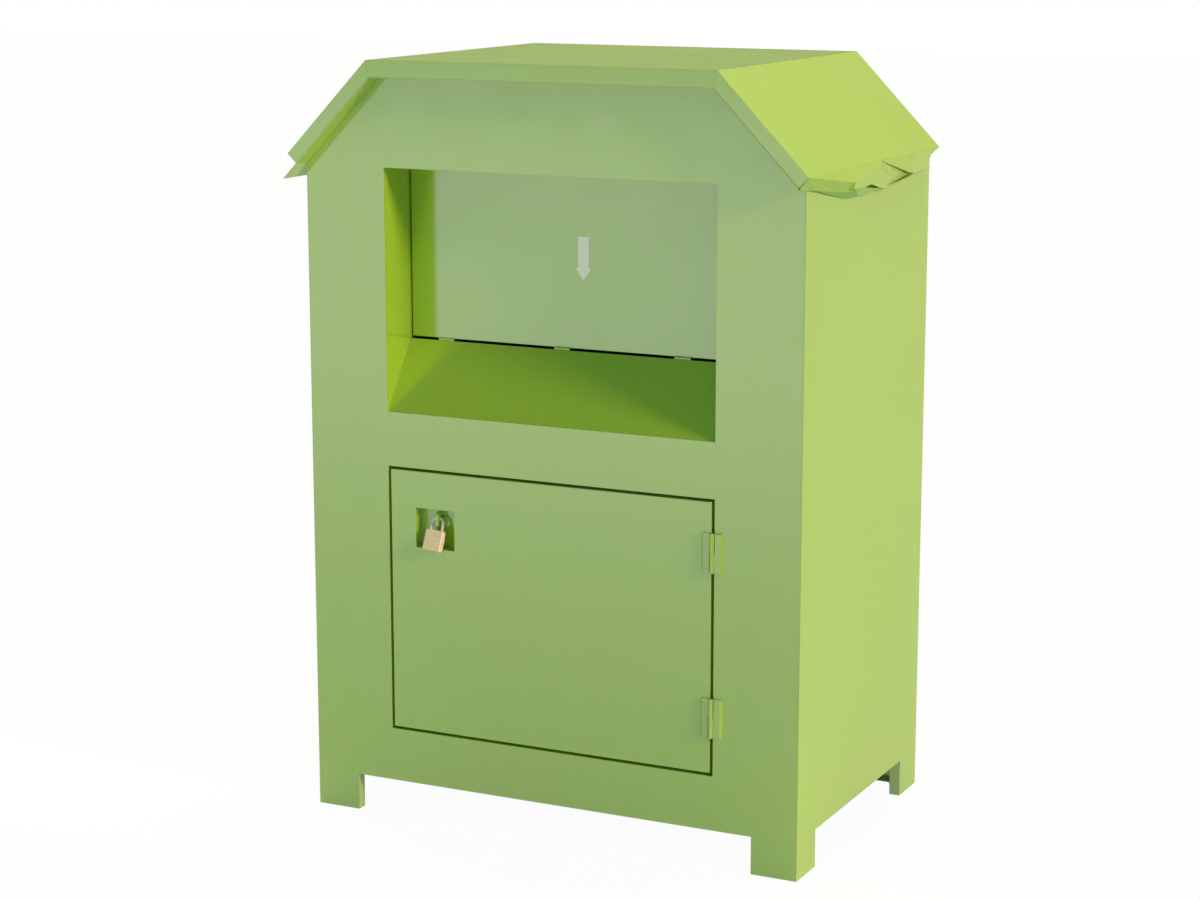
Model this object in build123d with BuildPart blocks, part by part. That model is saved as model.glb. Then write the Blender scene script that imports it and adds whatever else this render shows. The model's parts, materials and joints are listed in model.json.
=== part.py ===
"""Clothing donation bin: a sheet-steel cabinet on four feet, with a hipped roof cap,
a recessed chute with a tipping hopper, a padlocked access door and an inner frame.

Millimetres, +Z up. X runs across the front, -Y is the front. The origin is on the floor,
under the middle of the whole bin, roof overhang included.
"""

import math
import os

from build123d import *

os.makedirs("parts", exist_ok=True)

# ---------------------------------------------------------------- driving dimensions

BODY_WIDTH = 1200.0
BODY_DEPTH = 750.0
TOTAL_HEIGHT = 1730.0
FOOT_HEIGHT = 85.0
FOOT_WIDTH = 107.0

SHEET = 2.0  # panels
RETURN = 25.0  # depth of a panel's edge
ANGLE = 3.0  # door frame and corner posts
HAIRLINE = 0.1  # left where edge bars meet each other, or the sheet that they belong to

# roof cap: flat top, two slopes, and a thinner liner under it that ends in a drip lip
ROOF_TOP_HALF = 417.0
EAVE_HALF = 622.0
EAVE_HEIGHT = 1519.0
FASCIA = 36.0
SLOPE_BAND = 30.0
DRIP_LIP = 48.0
FRONT_OVERHANG = 44.0
REAR_OVERHANG = 2.0
RIB_OFFSET = 210.0

# chute opening, its recess and the flap at the back of it
CHUTE_WIDTH = 802.0
CHUTE_BOTTOM = 947.0
CHUTE_TOP = 1493.0
RECESS_DEPTH = 113.0
CHEEK_DEPTH = 140.0
FLAP_GAP = 3.5
FLAP_BOTTOM = 1103.5
FLAP_TOP = 1489.0
FLAP_DEPTH = 20.0
FLAP_TURN = 50.0
FLAP_HINGE_X = (-309.0, -17.0, 275.0)
FLAP_HINGE_LENGTH = 38.0
FLAP_BARREL = 3.0  # radius
FLAP_PIN = 1.5  # radius

# hopper behind the flap
TRAY_LENGTH = 250.0
TRAY_FALL = 20.0  # degrees below level
WING_RADIUS = 370.0
WING_LUG_RADIUS = 384.0

# access door
DOOR_OPENING_WIDTH = 802.0
DOOR_OPENING_BOTTOM = 208.0
DOOR_OPENING_TOP = 823.0
DOOR_GAP = 7.0
DOOR_DEPTH = 24.5
DOOR_HINGE_Z = (339.5, 705.5)
DOOR_HINGE_HEIGHT = 87.0
DOOR_BARREL = 5.0  # radius
DOOR_PIN = 2.5  # radius
LEAF = 5.0  # thickness of a weld-on hinge leaf
STIFFENER_Z = (350.0, 540.0)

# lock pocket and padlock
POCKET_WIDTH = 98.0
POCKET_HEIGHT = 91.0
POCKET_DEPTH = 27.0
POCKET_X = -282.0
POCKET_Z = 687.5
LOCK_X = -279.5
LOCK_Z = 712.0  # axis that the padlock hangs on
LOCK_LEAN = 20.0  # the case leans out over the pocket's lower edge
LOCK_ASKEW = 3.5  # and hangs a little out of plumb
LUG_SHEET = 4.0
LUG_HEIGHT = 37.0
LUG_HOLE = 6.5  # radius
CASE_WIDTH = 44.0
CASE_HEIGHT = 47.0
CASE_THICKNESS = 17.0
SHACKLE_ROD = 3.5  # radius
SHACKLE_SPREAD = 14.0  # half the distance between the legs
SHACKLE_REACH = 29.0  # hanging axis to the top of the case
CROWN_STEPS = 12  # short straight steps that round the shackle's crown
RUNNING_GAP = 0.05

# inner frame
POST_LEG = 40.0
POST_TOP = 1465.0
FOOT_PLATE = 6.0
FOOT_PLATE_SIDE = 44.0
ANCHOR_HOLE = 7.0  # radius
ANCHOR_INSET = 31.0  # hole to the plate's outer edges
FLOOR_INSET = 10.0
FLOOR_NOTCH = 60.0
FLOOR_RIM = 27.0
FRAME_LEG = 55.0
FRAME_LIP = 22.0

# ---------------------------------------------------------------- derived places

HALF_WIDTH = BODY_WIDTH / 2
FRONT = (FRONT_OVERHANG - BODY_DEPTH - REAR_OVERHANG) / 2
REAR = FRONT + BODY_DEPTH
MIDDLE = (FRONT + REAR) / 2
ROOF_FRONT = FRONT - FRONT_OVERHANG
ROOF_LENGTH = FRONT_OVERHANG + BODY_DEPTH + REAR_OVERHANG
CAP_UNDERSIDE = TOTAL_HEIGHT - FASCIA
LINER_UNDERSIDE = CAP_UNDERSIDE - SHEET

SLOPE_LENGTH = math.hypot(EAVE_HALF - ROOF_TOP_HALF, TOTAL_HEIGHT - EAVE_HEIGHT)
DOWN_X = (EAVE_HALF - ROOF_TOP_HALF) / SLOPE_LENGTH
DOWN_Z = (EAVE_HEIGHT - TOTAL_HEIGHT) / SLOPE_LENGTH

RECESS_BACK = FRONT + RECESS_DEPTH
FLAP_HALF = CHUTE_WIDTH / 2 - FLAP_GAP
FLAP_REAR = RECESS_BACK + FLAP_DEPTH
FLAP_AXIS_Y = RECESS_BACK - FLAP_BARREL
FLAP_AXIS_Z = FLAP_BOTTOM - 2.5
SILL_TOP = FLAP_AXIS_Z - 2.5
SILL_REAR = FLAP_AXIS_Y - SHEET
STOP_FACE = FLAP_REAR + 1.0

DOOR_HALF = DOOR_OPENING_WIDTH / 2 - DOOR_GAP
DOOR_BOTTOM = DOOR_OPENING_BOTTOM + DOOR_GAP
DOOR_TOP = DOOR_OPENING_TOP - DOOR_GAP
DOOR_AXIS_X = DOOR_HALF + DOOR_GAP / 2
DOOR_AXIS_Y = FRONT - LEAF
FRAME_INNER = DOOR_HALF - 19.0

LOCK_Y = FRONT + 14.0
LUG_Z = LOCK_Z + LUG_HOLE - SHACKLE_ROD - 0.5
LEAN = math.radians(LOCK_LEAN)
ASKEW = math.radians(LOCK_ASKEW)
# local x across the padlock, local y up along its legs, z out of its face
LOCK_PLANE = Plane(
    origin=(LOCK_X, LOCK_Y, LOCK_Z),
    x_dir=(
        math.cos(ASKEW),
        -math.sin(ASKEW) * math.sin(LEAN),
        -math.sin(ASKEW) * math.cos(LEAN),
    ),
    z_dir=(0, -math.cos(LEAN), math.sin(LEAN)),
)
CASE_TOP = -SHACKLE_REACH
CASE_BOTTOM = CASE_TOP - CASE_HEIGHT

FALL = math.radians(TRAY_FALL)
# local x down the tray to the rear, local y to the left, z up off the tray
TRAY_PLANE = Plane(
    origin=(0, FLAP_REAR + 1.0, FLAP_BOTTOM + 2 * SHEET),
    x_dir=(0, math.cos(FALL), -math.sin(FALL)),
    z_dir=(0, math.sin(FALL), math.cos(FALL)),
)


def slope_height(x, depth):
    """Height of the plane that lies depth under a roof slope, at a distance x from the middle."""
    along = (x - ROOF_TOP_HALF - DOWN_Z * depth) / DOWN_X
    return TOTAL_HEIGHT + DOWN_Z * along - DOWN_X * depth


def slope_reach(z, depth):
    """Distance from the middle at which that plane is at height z."""
    along = (TOTAL_HEIGHT - DOWN_X * depth - z) / -DOWN_Z
    return ROOF_TOP_HALF + DOWN_X * along + DOWN_Z * depth


def slope_point(along, depth):
    """A point on the slope: along it from the ridge, and depth square below it."""
    return (
        ROOF_TOP_HALF + DOWN_X * along + DOWN_Z * depth,
        TOTAL_HEIGHT + DOWN_Z * along - DOWN_X * depth,
    )


def mirrored(points, side):
    """The outline for the right (+1) or the left (-1) side."""
    return [(side * x, z) for x, z in points]


def hopper_point(radius, angle):
    """A point around the flap's axis, by its angle in degrees from straight up to the rear."""
    turn = math.radians(angle)
    return (FLAP_AXIS_Y + radius * math.sin(turn), FLAP_AXIS_Z + radius * math.cos(turn))


def outline(*points):
    """A flat face with straight sides, in the sketch that is open."""
    Polygon(*points, align=None)


def folded(points, side, thickness=SHEET):
    """The section of a folded strip: an open line of bends, thickened to one side."""
    with BuildLine() as strip:
        Polyline(*points)
        offset(amount=thickness, side=side)
    make_face(strip.edges())


def finish(piece, name):
    piece.part.label = name
    export_step(piece.part, f"parts/{name}.step")


# ---------------------------------------------------------------- cabinet panels


def end_outline():
    """Corners of the front or rear panel: shoulders under the roof slopes, an arch between feet."""
    half = HALF_WIDTH - SHEET
    shoulder = slope_height(half, SLOPE_BAND + SHEET)
    top = slope_reach(LINER_UNDERSIDE, SLOPE_BAND + SHEET)
    foot = HALF_WIDTH - FOOT_WIDTH
    right = [
        (foot, FOOT_HEIGHT),
        (foot, 0),
        (half, 0),
        (half, shoulder),
        (top, LINER_UNDERSIDE),
    ]
    return right + mirrored(right, -1)[::-1]


def block_outline(half, bottom, top):
    """Corners of an upright rectangle about the middle."""
    return [(-half, bottom), (half, bottom), (half, top), (-half, top)]


def edge_bars(corners):
    """Sections of flat bars round the inside of an outline, mitred a hairline apart."""
    points = [Vector(*corner) for corner in corners]
    inner = []
    for before, corner, after in zip(points[-1:] + points, points, points[1:] + points[:1]):
        first = (corner - before).normalized().rotate(Axis.Z, 90)
        second = (after - corner).normalized().rotate(Axis.Z, 90)
        inner.append(corner + (first + second) * (SHEET / (1 + first.dot(second))))
    for here in range(len(points)):
        start, end = points[here - 1], points[here]
        hairline = (end - start).normalized() * HAIRLINE
        quad = [start + hairline, end - hairline, inner[here] - hairline, inner[here - 1] + hairline]
        outline(*[(corner.X, corner.Y) for corner in quad])


DOOR_OPENING = block_outline(DOOR_OPENING_WIDTH / 2, DOOR_OPENING_BOTTOM, DOOR_OPENING_TOP)
DOOR_SURROUND = block_outline(
    DOOR_OPENING_WIDTH / 2 + SHEET, DOOR_OPENING_BOTTOM - SHEET, DOOR_OPENING_TOP + SHEET
)

with BuildPart() as front_panel:
    with BuildSketch(Plane.XZ.offset(-FRONT)):
        outline(*end_outline())
        Polygon(*DOOR_OPENING, align=None, mode=Mode.SUBTRACT)
        with Locations((0, (CHUTE_BOTTOM + CHUTE_TOP) / 2)):
            Rectangle(CHUTE_WIDTH, CHUTE_TOP - CHUTE_BOTTOM, mode=Mode.SUBTRACT)
    extrude(amount=-SHEET)
finish(front_panel, "front_panel")

# flat bar welded behind the front sheet, round its outer edge and round the door opening
with BuildPart() as front_edge_bars:
    with BuildSketch(Plane.XZ.offset(-FRONT - SHEET)):
        edge_bars(end_outline())
        edge_bars(DOOR_SURROUND)
    extrude(amount=SHEET - RETURN)
finish(front_edge_bars, "front_edge_bars")

with BuildPart() as rear_panel:
    with BuildSketch(Plane.XZ.offset(-REAR)):
        outline(*end_outline())
    extrude(amount=SHEET)
    with BuildSketch(Plane.XZ.offset(SHEET + HAIRLINE - REAR)):
        edge_bars(end_outline())
    extrude(amount=RETURN - SHEET - HAIRLINE)
finish(rear_panel, "rear_panel")


def side_panel(side):
    """A side wall, folded in above and below, whose ends lap over the end panels' edge bars."""
    height = slope_height(HALF_WIDTH, SLOPE_BAND + SHEET)
    inner = RETURN - SHEET
    with BuildPart() as panel:
        with BuildSketch(Plane.YZ.offset(side * HALF_WIDTH)):
            with Locations((MIDDLE, height / 2)):
                Rectangle(BODY_DEPTH, height)
            with Locations((MIDDLE, FOOT_HEIGHT / 2)):
                Rectangle(BODY_DEPTH - 2 * FOOT_WIDTH, FOOT_HEIGHT, mode=Mode.SUBTRACT)
        extrude(amount=-side * RETURN)
        inner_face = panel.faces().sort_by(Axis.X)[0 if side > 0 else -1]
        offset(amount=-SHEET, openings=inner_face)
        with BuildSketch(Plane.YZ.offset(side * (HALF_WIDTH - SHEET))):
            with Locations((FRONT + RETURN / 2, height / 2), (REAR - RETURN / 2, height / 2)):
                Rectangle(RETURN, height)
        extrude(amount=-side * inner, mode=Mode.SUBTRACT)
    return panel


SIDES = (("left", -1), ("right", 1))
ENDS = (("front", FRONT, 1), ("rear", REAR, -1))

for side_name, side in SIDES:
    finish(side_panel(side), f"side_panel_{side_name}")

# floor sheet with its corners cut out round the posts, and flat bar stood up along its edges
wide = HALF_WIDTH - FLOOR_INSET
deep = BODY_DEPTH / 2 - FLOOR_INSET
notch_x = wide - FLOOR_NOTCH
notch_y = deep - FLOOR_NOTCH
rear_right = [(wide, notch_y), (notch_x, notch_y), (notch_x, deep)]
rear_edge = rear_right + mirrored(rear_right, -1)[::-1]
floor_corners = rear_edge + [(-x, -y) for x, y in rear_edge]
floor_place = Plane(origin=(0, MIDDLE, FOOT_HEIGHT + SHEET))
with BuildPart() as floor_panel:
    with BuildSketch(floor_place):
        outline(*floor_corners)
    extrude(amount=SHEET)
    with BuildSketch(floor_place.offset(SHEET + HAIRLINE)):
        edge_bars(floor_corners)
    extrude(amount=FLOOR_RIM - SHEET - HAIRLINE)
finish(floor_panel, "floor_panel")

# ---------------------------------------------------------------- inner frame


def corner_post(side, end, inward):
    """Two flat bars set square to each other in one corner, standing on their foot plate."""
    x = side * (HALF_WIDTH - 2 * SHEET)
    y = end + inward * SHEET
    beside = ANGLE + HAIRLINE
    with BuildPart() as post:
        with BuildSketch(Plane.XY.offset(SHEET + FOOT_PLATE)):
            with Locations((x - side * POST_LEG / 2, y + inward * ANGLE / 2)):
                Rectangle(POST_LEG, ANGLE)
            with Locations((x - side * ANGLE / 2, y + inward * (beside + POST_LEG) / 2)):
                Rectangle(ANGLE, POST_LEG - beside)
        extrude(amount=POST_TOP - SHEET - FOOT_PLATE)
    return post


def foot_plate(side, end, inward):
    """The small plate under one corner post, with the hole that anchors the bin."""
    x = side * (HALF_WIDTH - 2 * SHEET)
    y = end + inward * SHEET
    half = FOOT_PLATE_SIDE / 2
    with BuildPart() as plate:
        with BuildSketch(Plane.XY.offset(SHEET)):
            with Locations((x - side * half, y + inward * half)):
                Rectangle(FOOT_PLATE_SIDE, FOOT_PLATE_SIDE)
            with Locations((x - side * ANCHOR_INSET, y + inward * ANCHOR_INSET)):
                Circle(ANCHOR_HOLE, mode=Mode.SUBTRACT)
        extrude(amount=FOOT_PLATE)
    return plate


for end_name, end, inward in ENDS:
    for side_name, side in SIDES:
        corner = f"{end_name}_{side_name}"
        finish(corner_post(side, end, inward), f"corner_post_{corner}")
        finish(foot_plate(side, end, inward), f"foot_plate_{corner}")

FRAME_FACE = FRONT + RETURN
FRAME_TOP = DOOR_TOP - 19.0
FRAME_BOTTOM = DOOR_BOTTOM + 19.0


def frame_section(inner, direction):
    """Door frame angle: a stop leg behind the door's edge and a lip to the rear."""
    outer = inner + direction * FRAME_LEG
    with Locations(((inner + outer) / 2, FRAME_FACE + ANGLE / 2)):
        Rectangle(FRAME_LEG, ANGLE)
    with Locations((outer - direction * ANGLE / 2, FRAME_FACE + ANGLE + FRAME_LIP / 2)):
        Rectangle(ANGLE, FRAME_LIP)


for side_name, side in SIDES:
    with BuildPart() as jamb:
        with BuildSketch(Plane.XY.offset(FRAME_BOTTOM - FRAME_LEG)):
            frame_section(side * FRAME_INNER, side)
        extrude(amount=FRAME_TOP - FRAME_BOTTOM + 2 * FRAME_LEG)
    finish(jamb, f"door_frame_jamb_{side_name}")

# sections of the cross members: local x is height, local y is depth
CROSS_PLANE = Plane(origin=(0, 0, 0), x_dir=(0, 0, 1), z_dir=(-1, 0, 0))
for name, height, direction in (("head", FRAME_TOP, 1), ("threshold", FRAME_BOTTOM, -1)):
    with BuildPart() as member:
        with BuildSketch(CROSS_PLANE):
            frame_section(height, direction)
        extrude(amount=FRAME_INNER, both=True)
    finish(member, f"door_frame_{name}")

# ---------------------------------------------------------------- roof

with BuildPart() as roof_top:
    mitre = slope_reach(CAP_UNDERSIDE, SLOPE_BAND)
    with BuildSketch(Plane.XZ.offset(-ROOF_FRONT)):
        outline(
            (-ROOF_TOP_HALF, TOTAL_HEIGHT),
            (ROOF_TOP_HALF, TOTAL_HEIGHT),
            (mitre, CAP_UNDERSIDE),
            (-mitre, CAP_UNDERSIDE),
        )
    extrude(amount=-ROOF_LENGTH)
    # only the top, the front fascia and the rear edge are sheet
    around = roof_top.faces().filter_by(Axis.Y, reverse=True).sort_by(Axis.Z)
    offset(amount=-SHEET, openings=around[:-1])
finish(roof_top, "roof_cap_top")


def roof_slope(side):
    """One slope of the cap, open below and along its mitre with the top."""
    corners = [
        (ROOF_TOP_HALF, TOTAL_HEIGHT),
        (EAVE_HALF, EAVE_HEIGHT),
        slope_point(SLOPE_LENGTH, SLOPE_BAND),
        (slope_reach(CAP_UNDERSIDE, SLOPE_BAND), CAP_UNDERSIDE),
    ]
    with BuildPart() as pan:
        with BuildSketch(Plane.XZ.offset(-ROOF_FRONT)):
            outline(*mirrored(corners, side))
        extrude(amount=-ROOF_LENGTH)
        # from the bottom up: eave face, underside, outer face, mitre
        around = pan.faces().filter_by(Axis.Y, reverse=True).sort_by(Axis.Z)
        offset(amount=-SHEET, openings=[around[1], around[3]])
    return pan


def roof_liner(side):
    """The sheet under one slope, which runs on past the cap as a drip lip."""
    edge = SLOPE_LENGTH + DRIP_LIP
    corners = [
        (slope_reach(CAP_UNDERSIDE, SLOPE_BAND), CAP_UNDERSIDE),
        slope_point(edge, SLOPE_BAND),
        slope_point(edge, SLOPE_BAND + SHEET),
        (slope_reach(LINER_UNDERSIDE, SLOPE_BAND + SHEET), LINER_UNDERSIDE),
    ]
    with BuildPart() as liner:
        with BuildSketch(Plane.XZ.offset(-ROOF_FRONT)):
            outline(*mirrored(corners, side))
        extrude(amount=-ROOF_LENGTH)
    return liner


def roof_rib(side):
    """A hat-section rib between the liner and the flat top."""
    height = FASCIA - SHEET
    section = [(-25, SHEET), (-12, SHEET), (-12, height), (12, height), (12, SHEET), (25, SHEET)]
    x = side * RIB_OFFSET
    with BuildPart() as rib:
        with BuildSketch(Plane.XZ.offset(-ROOF_FRONT - SHEET)):
            folded([(x + dx, CAP_UNDERSIDE + dz) for dx, dz in section], Side.RIGHT)
        extrude(amount=-(ROOF_LENGTH - 2 * SHEET))
    return rib


for side_name, side in SIDES:
    finish(roof_slope(side), f"roof_cap_slope_{side_name}")
    finish(roof_liner(side), f"roof_liner_{side_name}")
    finish(roof_rib(side), f"roof_rib_{side_name}")

with BuildPart() as liner_top:
    with BuildSketch(Plane.XZ.offset(-ROOF_FRONT)):
        upper = slope_reach(CAP_UNDERSIDE, SLOPE_BAND)
        lower = slope_reach(LINER_UNDERSIDE, SLOPE_BAND + SHEET)
        outline(
            (-upper, CAP_UNDERSIDE),
            (upper, CAP_UNDERSIDE),
            (lower, LINER_UNDERSIDE),
            (-lower, LINER_UNDERSIDE),
        )
    extrude(amount=-ROOF_LENGTH)
finish(liner_top, "roof_liner_top")

# ---------------------------------------------------------------- chute recess

for side_name, side in SIDES:
    with BuildPart() as cheek:
        with BuildSketch(Plane.YZ.offset(side * CHUTE_WIDTH / 2)):
            outline(
                (FRONT + SHEET, CHUTE_BOTTOM - RETURN),
                (FRONT + SHEET, CHUTE_TOP + SHEET),
                (FRONT + CHEEK_DEPTH, CHUTE_TOP + SHEET),
                (FRONT + CHEEK_DEPTH, SILL_TOP - RETURN),
                (SILL_REAR, SILL_TOP - RETURN),
            )
        extrude(amount=side * SHEET)
    finish(cheek, f"chute_cheek_{side_name}")

with BuildPart() as chute_sill:
    with BuildSketch(Plane.YZ):
        folded(
            [
                (FRONT + SHEET, CHUTE_BOTTOM - RETURN),
                (FRONT + SHEET, CHUTE_BOTTOM),
                (SILL_REAR, SILL_TOP),
                (SILL_REAR, SILL_TOP - RETURN),
            ],
            Side.RIGHT,
        )
    extrude(amount=CHUTE_WIDTH / 2, both=True)
finish(chute_sill, "chute_sill")

with BuildPart() as chute_head:
    with BuildSketch(Plane.YZ):
        with Locations((FRONT + SHEET, CHUTE_TOP)):
            Rectangle(STOP_FACE + RETURN - FRONT - SHEET, SHEET, align=(Align.MIN, Align.MIN))
    extrude(amount=CHUTE_WIDTH / 2, both=True)
finish(chute_head, "chute_head")

with BuildPart() as flap_stop:
    with BuildSketch(Plane.YZ):
        folded(
            [
                (STOP_FACE, CHUTE_TOP - 15.0),
                (STOP_FACE, CHUTE_TOP),
                (STOP_FACE + RETURN, CHUTE_TOP),
            ],
            Side.RIGHT,
        )
    extrude(amount=CHUTE_WIDTH / 2, both=True)
finish(flap_stop, "flap_stop_angle")

# ---------------------------------------------------------------- flap and hopper

with BuildPart() as flap:
    with BuildSketch(Plane.XZ.offset(-RECESS_BACK)):
        with Locations((0, (FLAP_BOTTOM + FLAP_TOP) / 2)):
            Rectangle(2 * FLAP_HALF, FLAP_TOP - FLAP_BOTTOM)
    extrude(amount=-FLAP_DEPTH)
    offset(amount=-SHEET, openings=flap.faces().sort_by(Axis.Y)[-1])
finish(flap, "flap_panel")

WEIGHT_PLACE = TRAY_LENGTH - 32.0
WEIGHT_SIZE = (40.0, 700.0, 12.0)
WEIGHT_BOLTS = [(WEIGHT_PLACE, -250.0), (WEIGHT_PLACE, 250.0)]
BOLT_RADIUS = 5.0
BOLT_HOLE = 5.5
NUT_RADIUS = 9.5

tray_start = (FLAP_REAR + 1.0, FLAP_BOTTOM + 2 * SHEET)
tray_end = (
    tray_start[0] + TRAY_LENGTH * math.cos(FALL),
    tray_start[1] - TRAY_LENGTH * math.sin(FALL),
)

with BuildPart() as hopper_tray:
    with BuildSketch(Plane.YZ):
        folded(
            [
                (RECESS_BACK + SHEET, tray_start[1]),
                tray_start,
                tray_end,
                (tray_end[0] - 20.0 * math.sin(FALL), tray_end[1] - 20.0 * math.cos(FALL)),
            ],
            Side.RIGHT,
        )
    extrude(amount=FLAP_HALF - SHEET, both=True)
    with BuildSketch(TRAY_PLANE):
        with Locations(*WEIGHT_BOLTS):
            Circle(BOLT_HOLE)
    extrude(amount=-SHEET, mode=Mode.SUBTRACT)
finish(hopper_tray, "hopper_tray")

wing_start = math.degrees(math.asin((RECESS_BACK + SHEET - FLAP_AXIS_Y) / WING_RADIUS))
lug_near = FLAP_TURN + 4.0
lug_far = FLAP_TURN + 10.0
wing_end = FLAP_TURN + 16.0

for side_name, side in SIDES:
    with BuildPart() as wing:
        with BuildSketch(Plane.YZ.offset(side * (FLAP_HALF - SHEET))):
            with BuildLine():
                Line((RECESS_BACK + SHEET, tray_start[1]), hopper_point(WING_RADIUS, wing_start))
                ThreePointArc(
                    hopper_point(WING_RADIUS, wing_start),
                    hopper_point(WING_RADIUS, (wing_start + lug_near) / 2),
                    hopper_point(WING_RADIUS, lug_near),
                )
                Line(hopper_point(WING_RADIUS, lug_near), hopper_point(WING_LUG_RADIUS, lug_near))
                ThreePointArc(
                    hopper_point(WING_LUG_RADIUS, lug_near),
                    hopper_point(WING_LUG_RADIUS, (lug_near + lug_far) / 2),
                    hopper_point(WING_LUG_RADIUS, lug_far),
                )
                Polyline(
                    hopper_point(WING_LUG_RADIUS, lug_far),
                    hopper_point(WING_RADIUS - 20.0, wing_end),
                    tray_end,
                    tray_start,
                    (RECESS_BACK + SHEET, tray_start[1]),
                )
            make_face()
        extrude(amount=-side * SHEET)
    finish(wing, f"hopper_wing_{side_name}")

with BuildPart() as counterweight:
    with BuildSketch(TRAY_PLANE.offset(-SHEET)):
        with Locations((WEIGHT_PLACE, 0)):
            Rectangle(WEIGHT_SIZE[0], WEIGHT_SIZE[1])
        with Locations(*WEIGHT_BOLTS):
            Circle(BOLT_HOLE, mode=Mode.SUBTRACT)
    extrude(amount=-WEIGHT_SIZE[2])
    chamfer(counterweight.edges().filter_by(Axis.X), length=1.5)
finish(counterweight, "counterweight_bar")

with BuildPart() as weight_bolts:
    with BuildSketch(TRAY_PLANE):
        with Locations(*WEIGHT_BOLTS):
            RegularPolygon(NUT_RADIUS, 6)
    extrude(amount=6.5)
    with BuildSketch(TRAY_PLANE):
        with Locations(*WEIGHT_BOLTS):
            Circle(BOLT_RADIUS)
    extrude(amount=-(SHEET + WEIGHT_SIZE[2] + 12.0))
    with BuildSketch(TRAY_PLANE.offset(-SHEET - WEIGHT_SIZE[2])):
        with Locations(*WEIGHT_BOLTS):
            RegularPolygon(NUT_RADIUS, 6)
    extrude(amount=-8.0)
finish(weight_bolts, "counterweight_bolts")

# flap hinges: two fixed knuckles outside, the flap's knuckle between them
KNUCKLE = FLAP_HINGE_LENGTH / 3
KNUCKLE_GAP = 0.2

for number, x in enumerate(FLAP_HINGE_X, start=1):
    left = x - FLAP_HINGE_LENGTH / 2
    outer_knuckles = (left, left + 2 * KNUCKLE)

    with BuildPart() as fixed_leaf:
        for start in outer_knuckles:
            with BuildSketch(Plane.YZ.offset(start)):
                with Locations((FLAP_AXIS_Y, FLAP_AXIS_Z)):
                    Circle(FLAP_BARREL)
                with Locations((SILL_REAR, SILL_TOP - 1.0)):
                    Rectangle(SHEET, 3.5, align=(Align.MIN, Align.MIN))
            extrude(amount=KNUCKLE)
        with BuildSketch(Plane.YZ.offset(left)):
            with Locations((SILL_REAR, SILL_TOP - 21.0)):
                Rectangle(SHEET, 20.0, align=(Align.MIN, Align.MIN))
        extrude(amount=FLAP_HINGE_LENGTH)
        with BuildSketch(Plane.YZ.offset(left)):
            with Locations((FLAP_AXIS_Y, FLAP_AXIS_Z)):
                Circle(FLAP_PIN + RUNNING_GAP)
        extrude(amount=FLAP_HINGE_LENGTH, mode=Mode.SUBTRACT)
    finish(fixed_leaf, f"flap_hinge_{number}_fixed_leaf")

    with BuildPart() as moving_leaf:
        with BuildSketch(Plane.YZ.offset(left + KNUCKLE + KNUCKLE_GAP)):
            with Locations((FLAP_AXIS_Y, FLAP_AXIS_Z)):
                Circle(FLAP_BARREL)
            with Locations((FLAP_AXIS_Y, FLAP_BOTTOM)):
                Rectangle(FLAP_BARREL + 1.0, SHEET, align=(Align.MIN, Align.MAX))
        extrude(amount=KNUCKLE - 2 * KNUCKLE_GAP)
        with BuildSketch(Plane.YZ.offset(left)):
            with Locations((RECESS_BACK + 0.5, FLAP_BOTTOM)):
                Rectangle(18.0, SHEET, align=(Align.MIN, Align.MAX))
        extrude(amount=FLAP_HINGE_LENGTH)
        with BuildSketch(Plane.YZ.offset(left)):
            with Locations((FLAP_AXIS_Y, FLAP_AXIS_Z)):
                Circle(FLAP_PIN + RUNNING_GAP)
        extrude(amount=FLAP_HINGE_LENGTH, mode=Mode.SUBTRACT)
    finish(moving_leaf, f"flap_hinge_{number}_moving_leaf")

    with BuildPart() as flap_pin:
        with BuildSketch(Plane.YZ.offset(left - 0.5)):
            with Locations((FLAP_AXIS_Y, FLAP_AXIS_Z)):
                Circle(FLAP_PIN)
        extrude(amount=FLAP_HINGE_LENGTH + 1.0)
    finish(flap_pin, f"flap_hinge_{number}_pin")

# ---------------------------------------------------------------- access door

door_corners = block_outline(DOOR_HALF, DOOR_BOTTOM, DOOR_TOP)
with BuildPart() as door_panel:
    with BuildSketch(Plane.XZ.offset(-FRONT)):
        outline(*door_corners)
        with Locations((POCKET_X, POCKET_Z)):
            Rectangle(POCKET_WIDTH, POCKET_HEIGHT, mode=Mode.SUBTRACT)
    extrude(amount=-SHEET)
    with BuildSketch(Plane.XZ.offset(-FRONT - SHEET - HAIRLINE)):
        edge_bars(door_corners)
    extrude(amount=SHEET + HAIRLINE - DOOR_DEPTH)
finish(door_panel, "door_panel")

with BuildPart() as lock_pocket:
    with BuildSketch(Plane.XZ.offset(-FRONT - SHEET)):
        with Locations((POCKET_X, POCKET_Z)):
            Rectangle(POCKET_WIDTH + 2 * SHEET, POCKET_HEIGHT + 2 * SHEET)
    extrude(amount=-POCKET_DEPTH)
    offset(amount=-SHEET, openings=lock_pocket.faces().sort_by(Axis.Y)[0])
finish(lock_pocket, "lock_pocket")

with BuildPart() as lock_lug:
    with BuildSketch(Plane.YZ.offset(LOCK_X)) as lug_outline:
        with Locations((FRONT + POCKET_DEPTH, LUG_Z + LUG_HOLE + 6.0)):
            Rectangle(POCKET_DEPTH - 1.5, LUG_HEIGHT, align=(Align.MAX, Align.MAX))
        fillet(lug_outline.vertices().group_by(Axis.X)[0], radius=11.0)
        with Locations((LOCK_Y, LUG_Z)):
            Circle(LUG_HOLE, mode=Mode.SUBTRACT)
    extrude(amount=LUG_SHEET / 2, both=True)
finish(lock_lug, "lock_lug")

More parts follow.
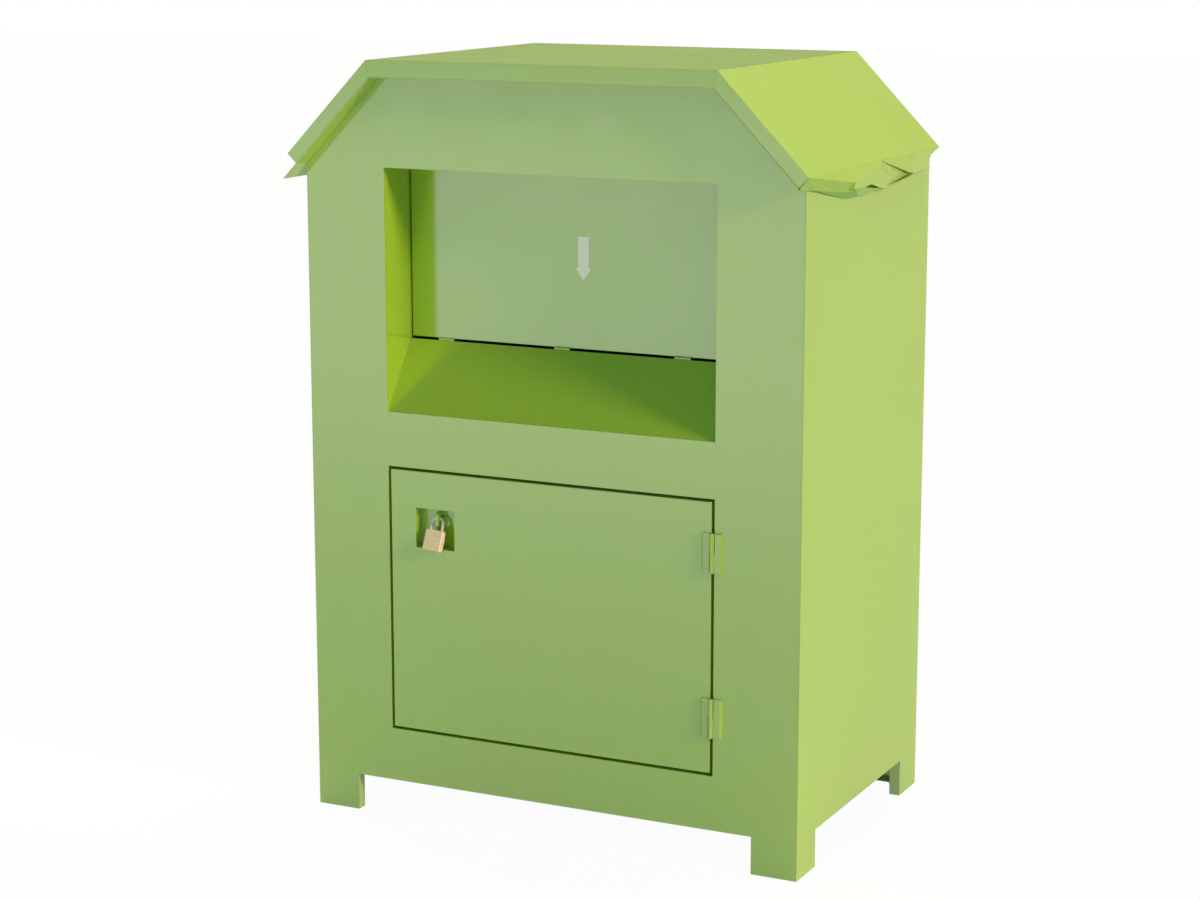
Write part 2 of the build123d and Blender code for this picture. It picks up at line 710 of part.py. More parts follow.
for name, height in zip(("lower", "upper"), STIFFENER_Z):
    with BuildPart() as stiffener:
        near = FRONT + 2 * SHEET
        far = FRONT + DOOR_DEPTH - SHEET
        section = [(near, -30), (near, -15), (far, -15), (far, 15), (near, 15), (near, 30)]
        with BuildSketch(Plane.YZ):
            folded([(y, height + z) for y, z in section], Side.LEFT)
        extrude(amount=DOOR_HALF - SHEET, both=True)
    finish(stiffener, f"door_stiffener_{name}")

# door hinges: weld-on leaves on the face, the frame's knuckle below, the door's above
LEAF_WIDTH = 19.0
LEAF_CLEARANCE = 6.5
HALF_KNUCKLE = DOOR_HINGE_HEIGHT / 2


def door_leaf(bottom, side, knuckle_bottom):
    """A leaf on the door (-1) or the frame (+1), with one knuckle of half its height."""
    inner = DOOR_AXIS_X + side * LEAF_CLEARANCE
    outer = inner + side * LEAF_WIDTH
    with BuildPart() as leaf:
        with BuildSketch(Plane.XY.offset(bottom)):
            outline(
                (inner, FRONT),
                (outer, FRONT),
                (outer - side * 4.0, FRONT - LEAF),
                (inner, FRONT - LEAF),
            )
        extrude(amount=DOOR_HINGE_HEIGHT)
        with BuildSketch(Plane.XY.offset(knuckle_bottom)):
            with Locations((DOOR_AXIS_X, DOOR_AXIS_Y)):
                Circle(DOOR_BARREL)
            with Locations(((DOOR_AXIS_X + inner) / 2, FRONT - LEAF / 2)):
                Rectangle(LEAF_CLEARANCE, LEAF - 1.0)
            with Locations((DOOR_AXIS_X, DOOR_AXIS_Y)):
                Circle(DOOR_PIN + RUNNING_GAP, mode=Mode.SUBTRACT)
        extrude(amount=HALF_KNUCKLE - KNUCKLE_GAP)
    return leaf


for name, centre in zip(("lower", "upper"), DOOR_HINGE_Z):
    bottom = centre - HALF_KNUCKLE
    finish(door_leaf(bottom, 1, bottom), f"door_hinge_{name}_frame_leaf")
    finish(door_leaf(bottom, -1, centre + KNUCKLE_GAP), f"door_hinge_{name}_door_leaf")
    with BuildPart() as door_pin:
        with BuildSketch(Plane.XY.offset(bottom - 1.5)):
            with Locations((DOOR_AXIS_X, DOOR_AXIS_Y)):
                Circle(DOOR_PIN)
        extrude(amount=DOOR_HINGE_HEIGHT + 3.0)
    finish(door_pin, f"door_hinge_{name}_pin")

# ---------------------------------------------------------------- padlock

TOE_DEPTH = 12.0
HEEL_DEPTH = 28.0
PLUG_RADIUS = 7.0
PLUG_LENGTH = 20.0


def lock_level(height, up):
    """A plane square to the padlock's legs at a local height, facing up (+1) or down (-1)."""
    return Plane(
        origin=LOCK_PLANE.from_local_coords(Vector(0, height, 0)),
        x_dir=LOCK_PLANE.x_dir,
        z_dir=LOCK_PLANE.y_dir * up,
    )


with BuildPart() as padlock_case:
    with BuildSketch(LOCK_PLANE) as case_outline:
        with Locations((0, (CASE_TOP + CASE_BOTTOM) / 2)):
            Rectangle(CASE_WIDTH, CASE_HEIGHT)
        chamfer(case_outline.vertices(), length=2.0)
    extrude(amount=CASE_THICKNESS / 2, both=True)
    across = padlock_case.faces().sort_by(Axis(LOCK_PLANE.origin, LOCK_PLANE.z_dir))
    chamfer(across[0].edges() + across[-1].edges(), length=1.2)
    for x, depth in ((-SHACKLE_SPREAD, HEEL_DEPTH + 2.0), (SHACKLE_SPREAD, TOE_DEPTH + 2.0)):
        with BuildSketch(lock_level(CASE_TOP, 1)):
            with Locations((x, 0)):
                Circle(SHACKLE_ROD + RUNNING_GAP)
        extrude(amount=-depth, mode=Mode.SUBTRACT)
    with BuildSketch(lock_level(CASE_BOTTOM, -1)):
        Circle(PLUG_RADIUS + RUNNING_GAP)
    extrude(amount=-PLUG_LENGTH, mode=Mode.SUBTRACT)
finish(padlock_case, "padlock_case")

crown = []
for step in range(CROWN_STEPS + 1):
    turn = math.pi * step / CROWN_STEPS
    crown.append((-SHACKLE_SPREAD * math.cos(turn), SHACKLE_SPREAD * (math.sin(turn) - 1)))

with BuildPart() as padlock_shackle:
    with BuildLine(LOCK_PLANE):
        Polyline(
            (-SHACKLE_SPREAD, CASE_TOP - HEEL_DEPTH),
            *crown,
            (SHACKLE_SPREAD, CASE_TOP - TOE_DEPTH),
        )
    with BuildSketch(lock_level(CASE_TOP - HEEL_DEPTH, 1)):
        with Locations((-SHACKLE_SPREAD, 0)):
            Circle(SHACKLE_ROD)
    sweep(transition=Transition.RIGHT)
finish(padlock_shackle, "padlock_shackle")

with BuildPart() as padlock_plug:
    with BuildSketch(lock_level(CASE_BOTTOM, -1)):
        Circle(PLUG_RADIUS)
    extrude(amount=-(PLUG_LENGTH - 0.5))
    with BuildSketch(lock_level(CASE_BOTTOM, -1)):
        Rectangle(2.0, 8.0)
    extrude(amount=-10.0, mode=Mode.SUBTRACT)
finish(padlock_plug, "padlock_key_plug")
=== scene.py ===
"""Clothing donation bin: finishes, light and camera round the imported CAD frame.

It adds what the CAD leaves plain: the crushed lip of the right eave, and the flap's arrow.
"""

import json
import math

import bmesh
import bpy
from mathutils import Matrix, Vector


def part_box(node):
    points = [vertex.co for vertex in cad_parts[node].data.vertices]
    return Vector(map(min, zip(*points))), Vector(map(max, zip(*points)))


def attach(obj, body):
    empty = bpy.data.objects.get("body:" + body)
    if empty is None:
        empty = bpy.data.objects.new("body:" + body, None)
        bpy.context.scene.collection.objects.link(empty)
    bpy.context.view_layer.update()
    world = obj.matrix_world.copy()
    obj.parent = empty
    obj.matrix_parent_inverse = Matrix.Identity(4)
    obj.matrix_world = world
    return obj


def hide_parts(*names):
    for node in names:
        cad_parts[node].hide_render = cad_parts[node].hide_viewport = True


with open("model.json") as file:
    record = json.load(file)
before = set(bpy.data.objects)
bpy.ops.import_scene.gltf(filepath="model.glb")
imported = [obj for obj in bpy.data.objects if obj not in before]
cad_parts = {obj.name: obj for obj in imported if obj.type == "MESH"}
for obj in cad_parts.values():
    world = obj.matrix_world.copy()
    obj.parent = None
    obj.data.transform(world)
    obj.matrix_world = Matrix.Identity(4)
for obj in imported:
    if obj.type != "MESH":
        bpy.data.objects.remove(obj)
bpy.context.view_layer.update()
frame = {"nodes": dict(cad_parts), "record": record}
nodes = frame["nodes"]

# ---------------------------------------- places taken from the CAD, in metres

FLAP_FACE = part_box("flap_panel")[0].y
LINER_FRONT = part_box("roof_liner_right")[0].y
LINER_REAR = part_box("roof_liner_right")[1].y

# ---------------------------------------- finishes

WHITE = (1, 1, 1, 1)
# sockets of the Mix node when it mixes colours
MIX_FIRST, MIX_SECOND, MIX_RESULT = 6, 7, 2

# above that of real paint: matched to how strongly the bin mirrors in the photograph
GLOSS_IOR = 2.7

# both tables: colour, the shade it varies to, and further settings of painted() or metal()
PAINTS = {
    "green_paint": ((0.345, 0.575, 0.026), (0.33, 0.555, 0.023), {"wear": 0.35}),
    "inner_green_paint": ((0.33, 0.55, 0.030), (0.30, 0.51, 0.026), {"rough": 0.3, "ior": 1.7}),
    "hinge_green_paint": ((0.36, 0.59, 0.032), (0.34, 0.56, 0.028), {"edge": 0.0008, "wear": 0.5}),
    # a paler, bluer copy of the green paint for the crushed lip: its colour is painted reflection,
    # standing in for the glossy paint's sheen
    "fold_green_painted_sheen": ((0.365, 0.575, 0.10), (0.35, 0.555, 0.09), {"rough": 0.25, "ior": 1.5}),
    # a darker copy of the green paint for the turned-under strip: painted shade for a sheet that
    # faces down under the eave
    "lip_green_painted_shade": ((0.30, 0.52, 0.035), (0.28, 0.50, 0.03), {"rough": 0.25, "ior": 1.5}),
    # a still darker copy for the strip's lower rim: painted shade for its inner, downward-facing
    # side
    "rim_green_painted_shade": ((0.19, 0.43, 0.012), (0.17, 0.40, 0.01), {"rough": 0.3, "ior": 1.5}),
    # a near-black copy for sheets of painted shade in the slit and hole of the tear
    "tear_green_painted_shade": ((0.10, 0.19, 0.004), (0.08, 0.16, 0.003), {"rough": 0.5, "ior": 1.25}),
}
METALS = {
    "steel_pin": (
        (0.56, 0.57, 0.56),
        (0.42, 0.43, 0.42),
        {"rough": 0.32, "brushed": 0.3, "axis": (1, 1, 0.1)},
    ),
    "lock_brass": (
        (1.0, 0.80, 0.55),
        (0.94, 0.73, 0.48),
        {"rough": 0.3, "brushed": 0.5, "axis": (0.06, 1, 1), "bare": 0.15},
    ),
    "shackle_chrome": (
        (0.95, 0.93, 0.88),
        (0.86, 0.84, 0.80),
        {"rough": 0.15, "brushed": 0.1, "bare": 0.45},
    ),
    "lock_plug": (
        (0.76, 0.62, 0.34),
        (0.62, 0.48, 0.25),
        {"rough": 0.25, "brushed": 0.3, "edge": 0.0003},
    ),
}
FILM_COLOUR = (0.90, 0.85, 0.93)
FILM_SHADE = (0.82, 0.77, 0.85)


def new_material(name):
    """A new node material, with its tree and its Principled shader."""
    material = bpy.data.materials.new(name)
    material.use_nodes = True
    tree = material.node_tree
    return material, tree, tree.nodes["Principled BSDF"]


def add(tree, kind, inputs=None, **settings):
    """A node with its settings, and its inputs given as values or as sockets to link from."""
    node = tree.nodes.new(kind)
    for key, value in settings.items():
        setattr(node, key, value)
    for key, value in (inputs or {}).items():
        if isinstance(value, bpy.types.NodeSocket):
            tree.links.new(value, node.inputs[key])
        else:
            node.inputs[key].default_value = value
    return node


def maths(tree, operation, *values):
    """The result of one maths node on values or sockets."""
    return add(tree, "ShaderNodeMath", dict(enumerate(values)), operation=operation).outputs[0]


def noise(tree, coordinates, scale, detail, roughness=0.5):
    """Noise about 0.5, over coordinates in metres."""
    made = add(
        tree,
        "ShaderNodeTexNoise",
        {"Vector": coordinates, "Scale": scale, "Detail": detail, "Roughness": roughness},
    )
    return made.outputs["Fac"]


def ramp(tree, factor, low, high, from_value=0.0, to_value=1.0):
    """Maps low..high of a factor to two values, clamped."""
    made = add(
        tree,
        "ShaderNodeMapRange",
        {
            "Value": factor,
            "From Min": low,
            "From Max": high,
            "To Min": from_value,
            "To Max": to_value,
        },
    )
    return made.outputs["Result"]


def mixed(tree, factor, first, second):
    """Two colours mixed, each given as a value or as a socket."""
    inputs = {"Factor": factor, MIX_FIRST: first, MIX_SECOND: second}
    return add(tree, "ShaderNodeMix", inputs, data_type="RGBA").outputs[MIX_RESULT]


def object_coordinates(tree):
    return add(tree, "ShaderNodeTexCoord").outputs["Object"]


def rounded_normal(tree, radius):
    """The surface's normal with its edges rounded off."""
    return add(tree, "ShaderNodeBevel", {"Radius": radius}, samples=4).outputs["Normal"]


def bumped(tree, height, distance, strength, normal):
    """A normal that a height disturbs."""
    made = add(
        tree,
        "ShaderNodeBump",
        {"Height": height, "Distance": distance, "Strength": strength, "Normal": normal},
    )
    return made.outputs["Normal"]


def painted(name, colour, shade, rough=0.13, ior=GLOSS_IOR, edge=0.0012, wear=0.0):
    """Powder coat on sheet steel: orange peel, slow unevenness, and a rubbed line on the edges."""
    material, tree, shader = new_material(name)
    place = object_coordinates(tree)
    cloud = noise(tree, place, scale=2.3, detail=4.0, roughness=0.55)
    tone = mixed(tree, ramp(tree, cloud, 0.3, 0.7), (*shade, 1), (*colour, 1))
    rounded = rounded_normal(tree, edge)
    if wear:
        # the rounded normal leaves the flat one only near an edge
        flat = add(tree, "ShaderNodeNewGeometry").outputs["Normal"]
        turn = add(tree, "ShaderNodeVectorMath", {0: rounded, 1: flat}, operation="DOT_PRODUCT")
        near_edge = ramp(tree, turn.outputs["Value"], 0.995, 0.8)
        specks = noise(tree, place, scale=60.0, detail=4.0, roughness=0.7)
        rub = maths(tree, "MULTIPLY", near_edge, ramp(tree, specks, 0.52, 0.66, to_value=wear))
        pale = tuple(min(1.0, c * 1.25 + 0.05) for c in colour)
        tone = mixed(tree, rub, tone, (*pale, 1))
    dullness = noise(tree, place, scale=9.0, detail=5.0, roughness=0.6)
    waves = bumped(
        tree,
        noise(tree, place, scale=3.1, detail=1.0),
        distance=0.0012,
        strength=0.35,
        normal=rounded,
    )
    peel = bumped(
        tree,
        noise(tree, place, scale=420.0, detail=1.0),
        distance=0.0002,
        strength=0.05,
        normal=waves,
    )
    tree.links.new(tone, shader.inputs["Base Color"])
    tree.links.new(
        ramp(tree, dullness, 0.3, 0.7, rough * 0.8, rough * 1.25), shader.inputs["Roughness"]
    )
    tree.links.new(peel, shader.inputs["Normal"])
    shader.inputs["IOR"].default_value = ior
    return material


def metal(name, colour, shade, rough, brushed, axis=(1.0, 1.0, 1.0), edge=0.0005, bare=1.0):
    """Metal with fine scratches drawn out along one axis; dull metal is less bare."""
    material, tree, shader = new_material(name)
    place = object_coordinates(tree)
    drawn = add(tree, "ShaderNodeMapping", {"Vector": place, "Scale": axis}).outputs["Vector"]
    scratches = noise(tree, drawn, scale=900.0, detail=4.0, roughness=0.65)
    patches = noise(tree, place, scale=70.0, detail=4.0, roughness=0.6)
    tone = mixed(tree, ramp(tree, patches, 0.35, 0.7), (*colour, 1), (*shade, 1))
    normal = bumped(
        tree,
        scratches,
        distance=0.00008,
        strength=brushed,
        normal=rounded_normal(tree, edge),
    )
    tree.links.new(tone, shader.inputs["Base Color"])
    tree.links.new(
        ramp(tree, scratches, 0.3, 0.7, rough * 0.75, rough * 1.35), shader.inputs["Roughness"]
    )
    tree.links.new(normal, shader.inputs["Normal"])
    shader.inputs["Metallic"].default_value = bare
    return material


def pale_film(name, colour, shade):
    """Glossy pale film, a little uneven."""
    material, tree, shader = new_material(name)
    place = object_coordinates(tree)
    cloud = noise(tree, place, scale=120.0, detail=4.0, roughness=0.6)
    dullness = noise(tree, place, scale=300.0, detail=3.0)
    tree.links.new(
        mixed(tree, ramp(tree, cloud, 0.35, 0.7), (*colour, 1), (*shade, 1)),
        shader.inputs["Base Color"],
    )
    tree.links.new(ramp(tree, dullness, 0.3, 0.7, 0.12, 0.2), shader.inputs["Roughness"])
    shader.inputs["IOR"].default_value = GLOSS_IOR
    return material


finishes = {}
for make, table in ((painted, PAINTS), (metal, METALS)):
    for name, (colour, shade, more) in table.items():
        finishes[name] = make(name, colour, shade, **more)
finishes["pale_film"] = pale_film("pale_film", FILM_COLOUR, FILM_SHADE)

for part in frame["record"]["subparts"]:
    shown = nodes[part["node"]]
    shown.data.materials.clear()
    shown.data.materials.append(finishes[part["material_slot"]])

# ---------------------------------------- pieces the CAD leaves to this script

MM_PER_M = 1000


def linked(name, data):
    """A new object in the scene."""
    made = bpy.data.objects.new(name, data)
    bpy.context.scene.collection.objects.link(made)
    return made


def film(name, outline, y, thickness, material, body):
    """A thin film on a face that looks to -Y: its outline as (x, z), from the face outward."""
    count = len(outline)
    front = [(x, y - thickness, z) for x, z in outline]
    back = [(x, y, z) for x, z in outline]
    faces = [tuple(range(count)), tuple(reversed(range(count, 2 * count)))]
    faces += [(k, k + count, (k + 1) % count + count, (k + 1) % count) for k in range(count)]
    mesh = bpy.data.meshes.new(name)
    mesh.from_pydata(front + back, [], faces)
    mesh.materials.append(material)
    made = linked(name, mesh)
    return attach(made, body)


# the flap's arrow, in metres
ARROW_X = 0.034
ARROW_TOP = 1.351
ARROW_NECK = 1.282
ARROW_TIP = 1.255
SHAFT_HALF = 0.013
HEAD_HALF = 0.019
ARROW_THICKNESS = 0.0003
film(
    "flap_arrow",
    [
        (ARROW_X - SHAFT_HALF, ARROW_TOP),
        (ARROW_X - SHAFT_HALF, ARROW_NECK),
        (ARROW_X - HEAD_HALF, ARROW_NECK),
        (ARROW_X, ARROW_TIP),
        (ARROW_X + HEAD_HALF, ARROW_NECK),
        (ARROW_X + SHAFT_HALF, ARROW_NECK),
        (ARROW_X + SHAFT_HALF, ARROW_TOP),
    ],
    FLAP_FACE,
    ARROW_THICKNESS,
    finishes["pale_film"],
    "flap",
)

# the right liner: the sheet under the slope is flat, and its drip lip is crushed against the eave,
# points in millimetres
LIP = {
    # along the eave, just over the cap's edge
    "eave_front": (622.3, -398.0, 1519.2),
    "eave_bulge": (622.4, -150.0, 1519.2),
    "eave_crease": (622.4, 19.5, 1518.9),
    "eave_flat": (622.4, 250.0, 1519.2),
    "eave_rear": (622.3, 398.0, 1519.2),
    # the bulge and its torn lower edge
    "bulge": (631.0, -156.1, 1488.0),
    "tooth": (618.8, -161.1, 1474.5),
    "notch": (629.0, -157.8, 1474.8),
    "brink": (628.0, -80.4, 1473.9),
    "dent_top": (625.0, -44.7, 1474.1),
    "dent_front": (626.0, -74.2, 1469.4),
    "dent_rear": (626.0, 7.7, 1461.7),
    "fold_top": (627.0, 2.6, 1502.8),
    # the flattened rear part
    "crease_end": (626.0, 184.1, 1480.5),
    "flat_low": (623.0, 221.6, 1473.7),
    "flat_rear": (622.0, 330.8, 1474.6),
    "sliver_top": (621.5, 328.0, 1476.6),
    "sliver": (622.0, 352.4, 1475.6),
    "rear_cut": (622.0, 329.5, 1502.1),
    # the tongue under the crease
    "tongue_top": (622.0, 19.5, 1518.0),
    "tongue_bend": (626.8, 3.0, 1502.6),
    "tongue_end": (616.0, 205.0, 1481.0),
    "tongue_tip": (616.0, 237.0, 1474.4),
    "tongue_slit": (619.0, 173.0, 1471.9),
    "tongue_mid": (621.0, 112.5, 1466.0),
    "tongue_low": (622.0, 143.0, 1461.4),
    "tongue_front": (623.0, 43.9, 1456.7),
    "tongue_foot": (625.8, 8.0, 1461.5),
    # the strip that is turned under, front to rear, and its lower rim
    "strip_front": (602.0, -398.0, 1493.3),
    "rim_1": (608.0, -328.3, 1486.8),
    "rim_2": (609.0, -212.2, 1471.6),
    "rim_3": (620.0, -118.4, 1465.2),
    "rim_4": (624.0, -39.0, 1463.0),
    "edge_1": (602.2, -357.0, 1488.2),
    "edge_2": (602.2, -264.5, 1474.1),
    "edge_3": (602.6, -199.5, 1461.2),
    "edge_4": (603.4, -135.0, 1451.6),
    "edge_5": (612.0, -96.8, 1453.2),
    "edge_6": (617.0, -49.6, 1454.3),
    "edge_7": (622.0, 15.0, 1458.1),
    # dark sheets of painted shade: in the slit of the tear, and inside the small hole before it
    "slit_tail": (625.5, 49.2, 1463.5),
    "slit_up_1": (626.5, 109.1, 1468.7),
    "slit_up_2": (627.5, 157.1, 1474.8),
    "slit_up_3": (628.0, 187.8, 1477.8),
    "slit_tip": (628.0, 210.7, 1477.3),
    "slit_low_1": (628.0, 197.9, 1473.4),
    "slit_low_2": (627.5, 170.3, 1469.8),
    "slit_low_3": (626.5, 115.6, 1465.9),
    "hole_top": (620.0, -31.4, 1474.1),
    "hole_front": (620.0, -67.8, 1466.8),
    "hole_rear": (620.0, 36.5, 1457.0),
}
# in millimetres: the sheet's thickness along X, and the flat sheet's section as (x, z)
LIP_SHEET = 0.8
LINER_SECTION = ((409.3, 1692.0), (410.2, 1694.0), (602.6, 1496.0), (601.2, 1494.6))
# in metres: the front end of the fold, between the cap's eave and the strip, as (x, z)
END_OUTLINE = ((0.6002, 1.4984), (0.5995, 1.4965), (0.6020, 1.4933), (0.6223, 1.5192))
END_THICKNESS = 0.0008


def crushed(name, facets, finish, slab=()):
    """A thin closed sheet over facets that share their corners, all facing outward.

    A slab is the flat sheet that belongs to it, as its section in (x, z).
    """
    mesh = bmesh.new()
    outer, inner, edges = {}, {}, set()
    for facet in facets:
        corners = facet.split()
        for key in corners:
            if key not in outer:
                place = Vector(LIP[key])
                outer[key] = mesh.verts.new(place / MM_PER_M)
                inner[key] = mesh.verts.new((place - Vector((LIP_SHEET, 0, 0))) / MM_PER_M)
        for k in range(2, len(corners)):
            face = [corners[0], corners[k - 1], corners[k]]
            first, second, third = (Vector(LIP[key]) for key in face)
            if (second - first).cross(third - first).x < 0:
                face.reverse()
            mesh.faces.new([outer[key] for key in face])
            mesh.faces.new([inner[key] for key in reversed(face)])
            edges.update((face[n - 1], face[n]) for n in range(3))
    for here, there in sorted(edges):
        if (there, here) not in edges:
            mesh.faces.new((outer[there], outer[here], inner[here], inner[there]))
    if slab:
        ends = [
            [mesh.verts.new((x / MM_PER_M, y, z / MM_PER_M)) for x, z in slab]
            for y in (LINER_FRONT, LINER_REAR)
        ]
        mesh.faces.new(ends[0])
        mesh.faces.new(reversed(ends[1]))
        for k in range(len(slab)):
            mesh.faces.new((ends[0][k], ends[0][k - 1], ends[1][k - 1], ends[1][k]))
    shape = bpy.data.meshes.new(name)
    mesh.to_mesh(shape)
    mesh.free()
    shape.materials.append(finish)
    made = linked(name, shape)
    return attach(made, "cabinet")


liner = crushed(
    "crushed_liner",
    [
        "eave_front eave_bulge bulge",
        "eave_bulge eave_crease fold_top bulge",
        "bulge fold_top dent_top brink notch tooth",
        "fold_top dent_rear dent_top",
        "eave_crease eave_flat crease_end",
        "eave_flat flat_low crease_end",
        "eave_flat flat_rear flat_low",
        "eave_flat eave_rear rear_cut flat_rear",
        "flat_rear sliver_top sliver",
    ],
    finishes["fold_green_painted_sheen"],
    slab=LINER_SECTION,
)
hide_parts("roof_liner_right")
crushed(
    "crushed_tongue",
    [
        "tongue_top tongue_end tongue_slit tongue_mid tongue_bend",
        "tongue_end tongue_tip tongue_slit",
        "tongue_bend tongue_mid tongue_front tongue_foot",
        "tongue_mid tongue_low tongue_front",
    ],
    finishes["fold_green_painted_sheen"],
)
# the turned-under strip, darkened with painted shade
crushed(
    "crushed_strip",
    [
        "eave_front bulge tooth rim_2 rim_1",
        "tooth notch rim_3 rim_2",
        "notch brink dent_front rim_3",
        "dent_front dent_rear rim_4 rim_3",
        "eave_front rim_1 edge_1 strip_front",
        "rim_3 rim_4 edge_7 edge_6 edge_5",
        "rim_4 dent_rear edge_7",
    ],
    finishes["lip_green_painted_shade"],
)
# the rim of the strip, darker still with painted shade
crushed(
    "crushed_rim",
    [
        "rim_1 rim_2 edge_3 edge_2 edge_1",
        "rim_2 rim_3 edge_5 edge_4 edge_3",
    ],
    finishes["rim_green_painted_shade"],
)
# near-black sheets in the tear's slit and hole: painted shade where the gaps look dark
crushed(
    "painted_shade_in_tear",
    [
        "slit_tail slit_up_1 slit_low_3",
        "slit_up_1 slit_up_2 slit_low_2 slit_low_3",
        "slit_up_2 slit_up_3 slit_tip slit_low_1 slit_low_2",
        "hole_top hole_front hole_rear",
    ],
    finishes["tear_green_painted_shade"],
)
film(
    "crushed_end",
    END_OUTLINE,
    LINER_FRONT + END_THICKNESS,
    END_THICKNESS,
    finishes["fold_green_painted_sheen"],
    "cabinet",
)

# ---------------------------------------- stage, in metres and degrees

# the world's soft lights: axis, its sign, colour
WORLD_LIGHTS = (
    ("Y", 1.0, (0.80, 0.72, 0.50)),
    ("Y", -1.0, (0.0, 0.35, 0.20)),
    ("Z", 1.0, (0.60, 0.70, 0.30)),
)
WORLD_FALLOFF = 2.0
# lamps: name, direction to it, strength, colour, angle, whether it shows in reflections
LAMPS = (
    ("key", (0.92, -0.158, 0.355), 2.66, (1.0, 0.71, 0.85), 10.0, True),
    ("top_rear", (0.0, 0.35, 0.937), 2.05, (1.0, 0.77, 0.50), 30.0, False),
    ("left_rear", (-0.7, 0.5, 0.5), 2.5, (1.0, 0.96, 0.50), 30.0, False),
)
LAMP_DISTANCE = 5

FLOOR_HALF = 30.0
FLOOR_SHADE = (0.44, 0.51, 0.58, 1)
# the floor's colour where light is painted on it, just in front of the object
FLOOR_PAINTED_LIGHT = (0.88, 0.96, 0.64, 1)
# how far the floor is plain white for rays from the camera, and for mirrored and refracted ones
SWEEP_SEEN = 0.96
SWEEP_MIRRORED = 0.9

CAMERA_PLACE = (2.6732, -5.5326, 2.0737)
CAMERA_TILT = 78.56
CAMERA_TURN = 26.16
CAMERA_LENS = 81.76
CAMERA_SENSOR = 36.0


def stage_floor():
    """A pale floor, seen as a white sweep that keeps the object's shadow."""
    mesh = bpy.data.meshes.new("floor")
    corners = [(-1, -1), (1, -1), (1, 1), (-1, 1)]
    mesh.from_pydata([(FLOOR_HALF * x, FLOOR_HALF * y, 0) for x, y in corners], [], [(0, 1, 2, 3)])
    floor = linked("floor", mesh)
    material, tree, shader = new_material("floor")
    tree.nodes.remove(shader)
    out = tree.nodes["Material Output"]
    path = add(tree, "ShaderNodeLightPath").outputs
    place = add(tree, "ShaderNodeSeparateXYZ", {0: object_coordinates(tree)}).outputs

    # painted light: paler just in front of the object, most of all on the right, in the shadows of
    # the lamps behind, where it lights the front's foot
    strip = maths(
        tree,
        "MULTIPLY",
        ramp(tree, place["Y"], -1.1, -0.7),
        ramp(tree, place["Y"], -0.1, -0.35),
    )
    painted_light_near = maths(tree, "MULTIPLY", strip, ramp(tree, place["X"], -0.7, 0.5, 0.45, 1.0))
    shade = mixed(tree, painted_light_near, FLOOR_SHADE, FLOOR_PAINTED_LIGHT)
    diffuse = add(tree, "ShaderNodeBsdfDiffuse", {"Color": shade}).outputs[0]

    # in reflections the floor glows as a sweep: white far in front, greyer near the object as
    # painted shade, and it ends on the right
    far = ramp(tree, place["Y"], -0.8, -6.0, 0.52, 1.0)
    in_front = ramp(tree, place["Y"], 0.0, -0.6)
    past_end = ramp(tree, place["X"], 0.8, 1.8, 0.0, 0.95)
    left_over = maths(tree, "SUBTRACT", 1.0, maths(tree, "MULTIPLY", in_front, past_end))
    sweep = maths(tree, "MULTIPLY", far, left_over)
    level = maths(tree, "MAXIMUM", path["Is Camera Ray"], sweep)
    glow = add(tree, "ShaderNodeEmission", {"Color": WHITE, "Strength": level}).outputs[0]

    seen = maths(tree, "MULTIPLY", path["Is Camera Ray"], SWEEP_SEEN)
    mirrored = maths(tree, "MULTIPLY_ADD", path["Is Glossy Ray"], SWEEP_MIRRORED, seen)
    through = maths(tree, "MULTIPLY_ADD", path["Is Transmission Ray"], SWEEP_MIRRORED, mirrored)
    both = add(tree, "ShaderNodeMixShader", {0: through, 1: diffuse, 2: glow})
    tree.links.new(both.outputs[0], out.inputs["Surface"])
    mesh.materials.append(material)


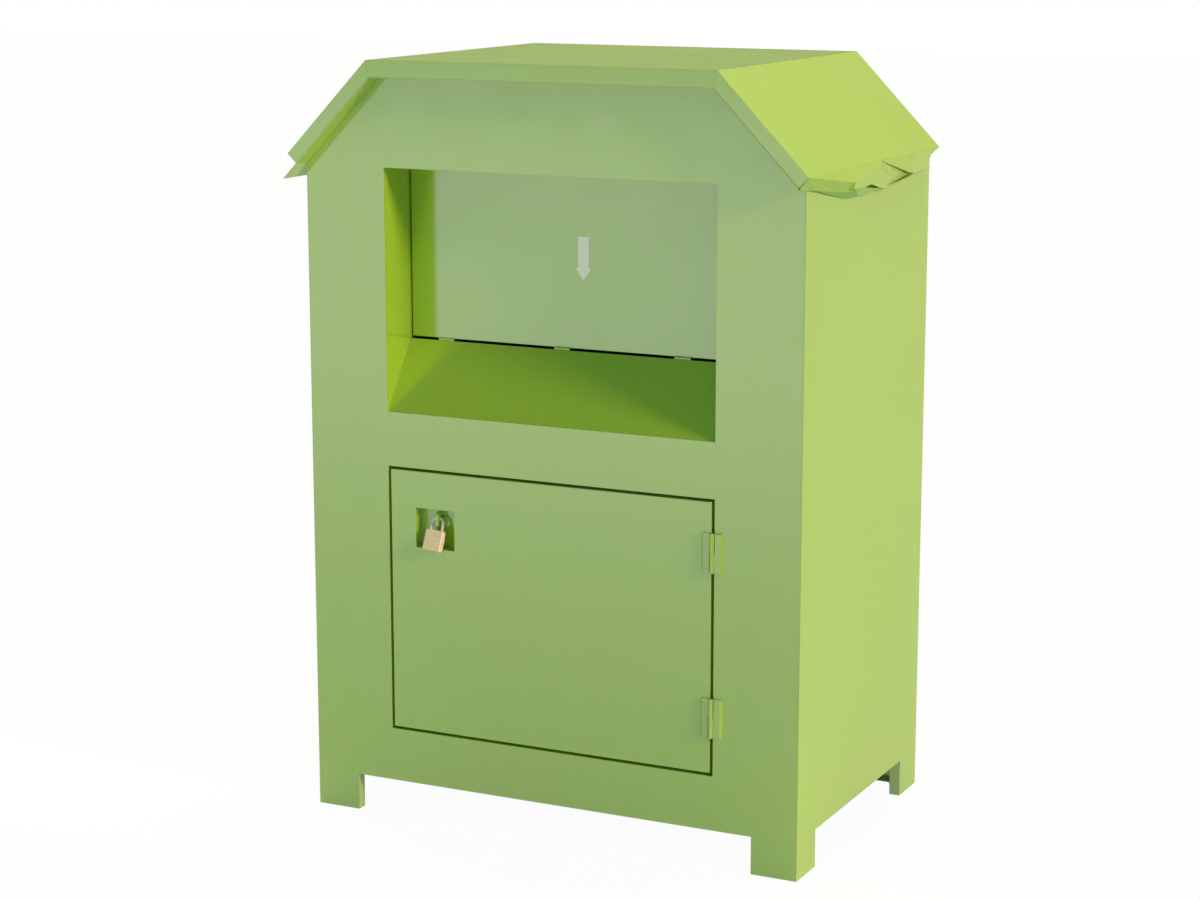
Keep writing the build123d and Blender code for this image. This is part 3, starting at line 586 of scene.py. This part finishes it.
def stage_world():
    """Soft light from three sides, a grey wall for reflections, and white for the camera."""
    world = bpy.data.worlds.new("studio")
    bpy.context.scene.world = world
    world.use_nodes = True
    tree = world.node_tree
    tree.nodes.clear()
    direction = add(tree, "ShaderNodeTexCoord").outputs["Generated"]
    parts = add(tree, "ShaderNodeSeparateXYZ", {0: direction}).outputs
    path = add(tree, "ShaderNodeLightPath").outputs

    # each soft light is strongest along its axis, and gone at right angles to it
    light = None
    for axis, sign, colour in WORLD_LIGHTS:
        ahead = maths(tree, "MAXIMUM", maths(tree, "MULTIPLY", parts[axis], sign), 0.0)
        soft = maths(tree, "POWER", ahead, WORLD_FALLOFF)
        tint = add(
            tree, "ShaderNodeVectorMath", {"Vector": colour, "Scale": soft}, operation="SCALE"
        ).outputs[0]
        if light:
            light = add(tree, "ShaderNodeVectorMath", {0: light, 1: tint}).outputs[0]
        else:
            light = tint

    # reflections see a grey wall, paler higher up, that darkens to a ceiling from 33 to 44 degrees
    height = parts["Z"]
    wall = maths(
        tree,
        "MULTIPLY",
        ramp(tree, height, 0.15, 0.45, 0.24, 0.47),
        ramp(tree, height, 0.55, 0.70, 1.0, 0.15),
    )
    mirror = add(tree, "ShaderNodeCombineColor", dict.fromkeys(range(3), wall)).outputs[0]
    level = mixed(tree, path["Is Glossy Ray"], light, mirror)
    lit = add(tree, "ShaderNodeBackground", {"Color": level, "Strength": 1.0}).outputs[0]
    white = add(tree, "ShaderNodeBackground", {"Color": WHITE, "Strength": 1.0}).outputs[0]
    both = add(tree, "ShaderNodeMixShader", {0: path["Is Camera Ray"], 1: lit, 2: white})
    out = add(tree, "ShaderNodeOutputWorld")
    tree.links.new(both.outputs[0], out.inputs["Surface"])


def stage_lamps():
    """A key lamp off to the right, and two very soft ones behind that don't show in reflections."""
    for name, towards, energy, colour, angle, mirrored in LAMPS:
        lamp = bpy.data.lights.new(name, "SUN")
        lamp.energy = energy
        lamp.color = colour
        lamp.angle = math.radians(angle)
        shown = linked(name, lamp)
        shown.rotation_euler = Vector(towards).to_track_quat("Z", "Y").to_euler()
        shown.location = Vector(towards) * LAMP_DISTANCE
        shown.visible_glossy = mirrored


def stage_camera():
    """The photograph's viewpoint, with a plain lens and no shift."""
    lens = bpy.data.cameras.new("camera")
    lens.lens = CAMERA_LENS
    lens.sensor_width = CAMERA_SENSOR
    lens.sensor_fit = "HORIZONTAL"
    camera = linked("camera", lens)
    camera.location = CAMERA_PLACE
    camera.rotation_euler = (math.radians(CAMERA_TILT), 0.0, math.radians(CAMERA_TURN))
    bpy.context.scene.camera = camera


stage_floor()
stage_world()
stage_lamps()
stage_camera()
bpy.context.scene.view_settings.view_transform = "Standard"
